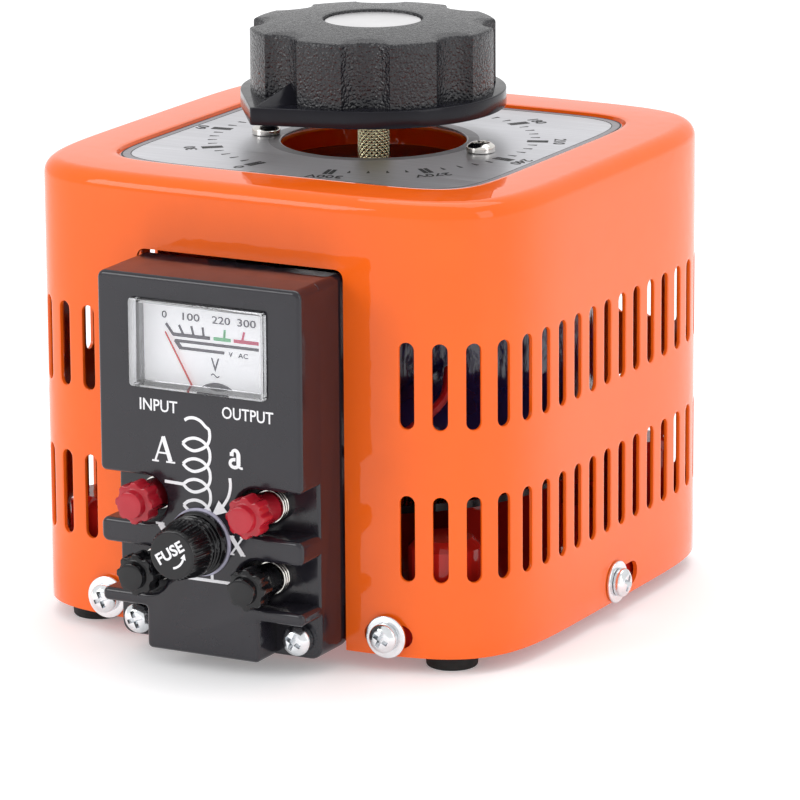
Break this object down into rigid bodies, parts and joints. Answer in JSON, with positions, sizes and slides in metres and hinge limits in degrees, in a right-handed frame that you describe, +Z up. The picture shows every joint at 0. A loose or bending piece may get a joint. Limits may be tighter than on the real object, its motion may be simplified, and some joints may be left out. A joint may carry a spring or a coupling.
{
  "type": "variable autotransformer",
  "caption": "Squared sheet-metal cover with vent slots, dial plate and fluted knob on top, and a front block with panel meter, fuse holder and binding posts.",
  "frame": {"origin": "middle of the object's bounding box in plan, on the plane of the feet", "axes": "+Z up along the knob's shaft, -Y towards the front block, +X to the right seen from the front"},
  "size_m": [0.1584, 0.1898, 0.1632],
  "materials": {
    "orange_enamel": "gloss baked enamel",
    "red_enamel": "semi-gloss paint on a casting",
    "dial_aluminium": "brushed, printed dial",
    "knob_aluminium": "spun satin",
    "black_rubber": "matt",
    "grey_gasket": "matt, pale grey",
    "zinc_steel": "bright zinc plate",
    "yellow_zinc_steel": "yellow passivated, knurled",
    "core_steel": "wound electrical steel",
    "winding_copper": "enamelled wire",
    "plain_brass": "turned",
    "film_navy": "thin glossy film",
    "black_phenolic": "semi-matt moulding",
    "black_grained": "leather-grain moulding",
    "black_gloss": "gloss moulding",
    "red_gloss": "gloss moulding",
    "clear_acrylic": "clear",
    "scale_white": "matt printed face",
    "needle_red": "matt paint",
    "tube_glass": "clear",
    "red_cable": "soft cable sheath",
    "black_cable": "soft cable sheath",
    "carbon": "pressed carbon"
  },
  "bodies": {
    "housing": {"housing_cover": "orange_enamel", "dial_plate": "dial_aluminium", "base_casting": "red_enamel", "toroid_core": "core_steel", "toroid_winding": "winding_copper", "insulating_film": "film_navy", "lower_insulator": "black_phenolic", "clamp_plate": "black_phenolic", "upper_bushing": "plain_brass", "lower_bushing": "plain_brass", "terminal_block": "black_phenolic", "meter_window": "clear_acrylic", "meter_scale_plate": "scale_white", "meter_case": "black_phenolic", "meter_movement": "black_gloss", "fuse_gasket": "grey_gasket", "fuse_holder": "black_gloss", "lead_output": "red_cable", "lead_common": "black_cable", "foot_front_left": "black_rubber", "foot_front_right": "black_rubber", "foot_rear_left": "black_rubber", "foot_rear_right": "black_rubber", "dial_screw_left": "zinc_steel", "block_screw_left": "zinc_steel", "cover_screw_front_left": "zinc_steel", "cover_washer_front_left": "zinc_steel", "cover_screw_side_left": "zinc_steel", "cover_washer_side_left": "zinc_steel", "post_stud_upper_left": "plain_brass", "post_collar_upper_left": "zinc_steel", "post_stud_lower_left": "plain_brass", "post_collar_lower_left": "zinc_steel", "dial_screw_right": "zinc_steel", "block_screw_right": "zinc_steel", "cover_screw_front_right": "zinc_steel", "cover_washer_front_right": "zinc_steel", "cover_screw_side_right": "zinc_steel", "cover_washer_side_right": "zinc_steel", "post_stud_upper_right": "plain_brass", "post_collar_upper_right": "zinc_steel", "post_stud_lower_right": "plain_brass", "post_collar_lower_right": "zinc_steel"},
    "rotor": {"shaft": "yellow_zinc_steel", "shaft_collar": "core_steel", "brush_arm": "black_phenolic", "carbon_brush": "carbon", "knob": "black_grained", "knob_disc": "knob_aluminium"},
    "needle": {"meter_needle": "needle_red"},
    "fuse_carrier": {"fuse_cartridge": "tube_glass"},
    "fuse_cap": {"fuse_cap": "black_gloss"},
    "post_sleeve_upper_left": {"post_insert_upper_left": "plain_brass"},
    "post_grip_upper_left": {"post_cap_upper_left": "red_gloss"},
    "post_sleeve_lower_left": {"post_insert_lower_left": "plain_brass"},
    "post_grip_lower_left": {"post_cap_lower_left": "black_gloss"},
    "post_sleeve_upper_right": {"post_insert_upper_right": "plain_brass"},
    "post_grip_upper_right": {"post_cap_upper_right": "red_gloss"},
    "post_sleeve_lower_right": {"post_insert_lower_right": "plain_brass"},
    "post_grip_lower_right": {"post_cap_lower_right": "black_gloss"}
  },
  "joints": [
    {"name": "dial_turn", "type": "hinge", "parent": "housing", "child": "rotor", "pos_m": [0, 0.019, 0.139], "axis": [0, 0, -1], "range_deg": [-3.5, 326.5]},
    {"name": "meter_swing", "type": "hinge", "parent": "housing", "child": "needle", "pos_m": [0.0013, -0.0725, 0.0654], "axis": [0, 1, 0], "range_deg": [0, 50], "stiffness_Nm_per_rad": 0.00005, "springref_deg": -5.73},
    {"name": "fuse_pull", "type": "slide", "parent": "housing", "child": "fuse_carrier", "axis": [0, -1, 0], "range_m": [0, 0.03]},
    {"name": "fuse_cap_turn", "type": "hinge", "parent": "fuse_carrier", "child": "fuse_cap", "pos_m": [-0.0008, -0.086, 0.0367], "axis": [0, -1, 0], "range_deg": [0, 90]},
    {"name": "post_lift_upper_left", "type": "slide", "parent": "housing", "child": "post_sleeve_upper_left", "axis": [0, -1, 0], "range_m": [0, 0.0032]},
    {"name": "post_turn_upper_left", "type": "hinge", "parent": "post_sleeve_upper_left", "child": "post_grip_upper_left", "pos_m": [-0.0178, -0.081, 0.04665], "axis": [0, -1, 0], "range_deg": [0, 1440]},
    {"name": "post_lift_lower_left", "type": "slide", "parent": "housing", "child": "post_sleeve_lower_left", "axis": [0, -1, 0], "range_m": [0, 0.0032]},
    {"name": "post_turn_lower_left", "type": "hinge", "parent": "post_sleeve_lower_left", "child": "post_grip_lower_left", "pos_m": [-0.0178, -0.081, 0.0268], "axis": [0, -1, 0], "range_deg": [0, 1440]},
    {"name": "post_lift_upper_right", "type": "slide", "parent": "housing", "child": "post_sleeve_upper_right", "axis": [0, -1, 0], "range_m": [0, 0.0032]},
    {"name": "post_turn_upper_right", "type": "hinge", "parent": "post_sleeve_upper_right", "child": "post_grip_upper_right", "pos_m": [0.0162, -0.081, 0.04665], "axis": [0, -1, 0], "range_deg": [0, 1440]},
    {"name": "post_lift_lower_right", "type": "slide", "parent": "housing", "child": "post_sleeve_lower_right", "axis": [0, -1, 0], "range_m": [0, 0.0032]},
    {"name": "post_turn_lower_right", "type": "hinge", "parent": "post_sleeve_lower_right", "child": "post_grip_lower_right", "pos_m": [0.0162, -0.081, 0.0268], "axis": [0, -1, 0], "range_deg": [0, 1440]}
  ],
  "couplings": [
    {"joint": "post_turn_upper_left", "follows": "post_lift_upper_left", "rad_per_m": 7854},
    {"joint": "post_turn_lower_left", "follows": "post_lift_lower_left", "rad_per_m": 7854},
    {"joint": "post_turn_upper_right", "follows": "post_lift_upper_right", "rad_per_m": 7854},
    {"joint": "post_turn_lower_right", "follows": "post_lift_lower_right", "rad_per_m": 7854}
  ]
}
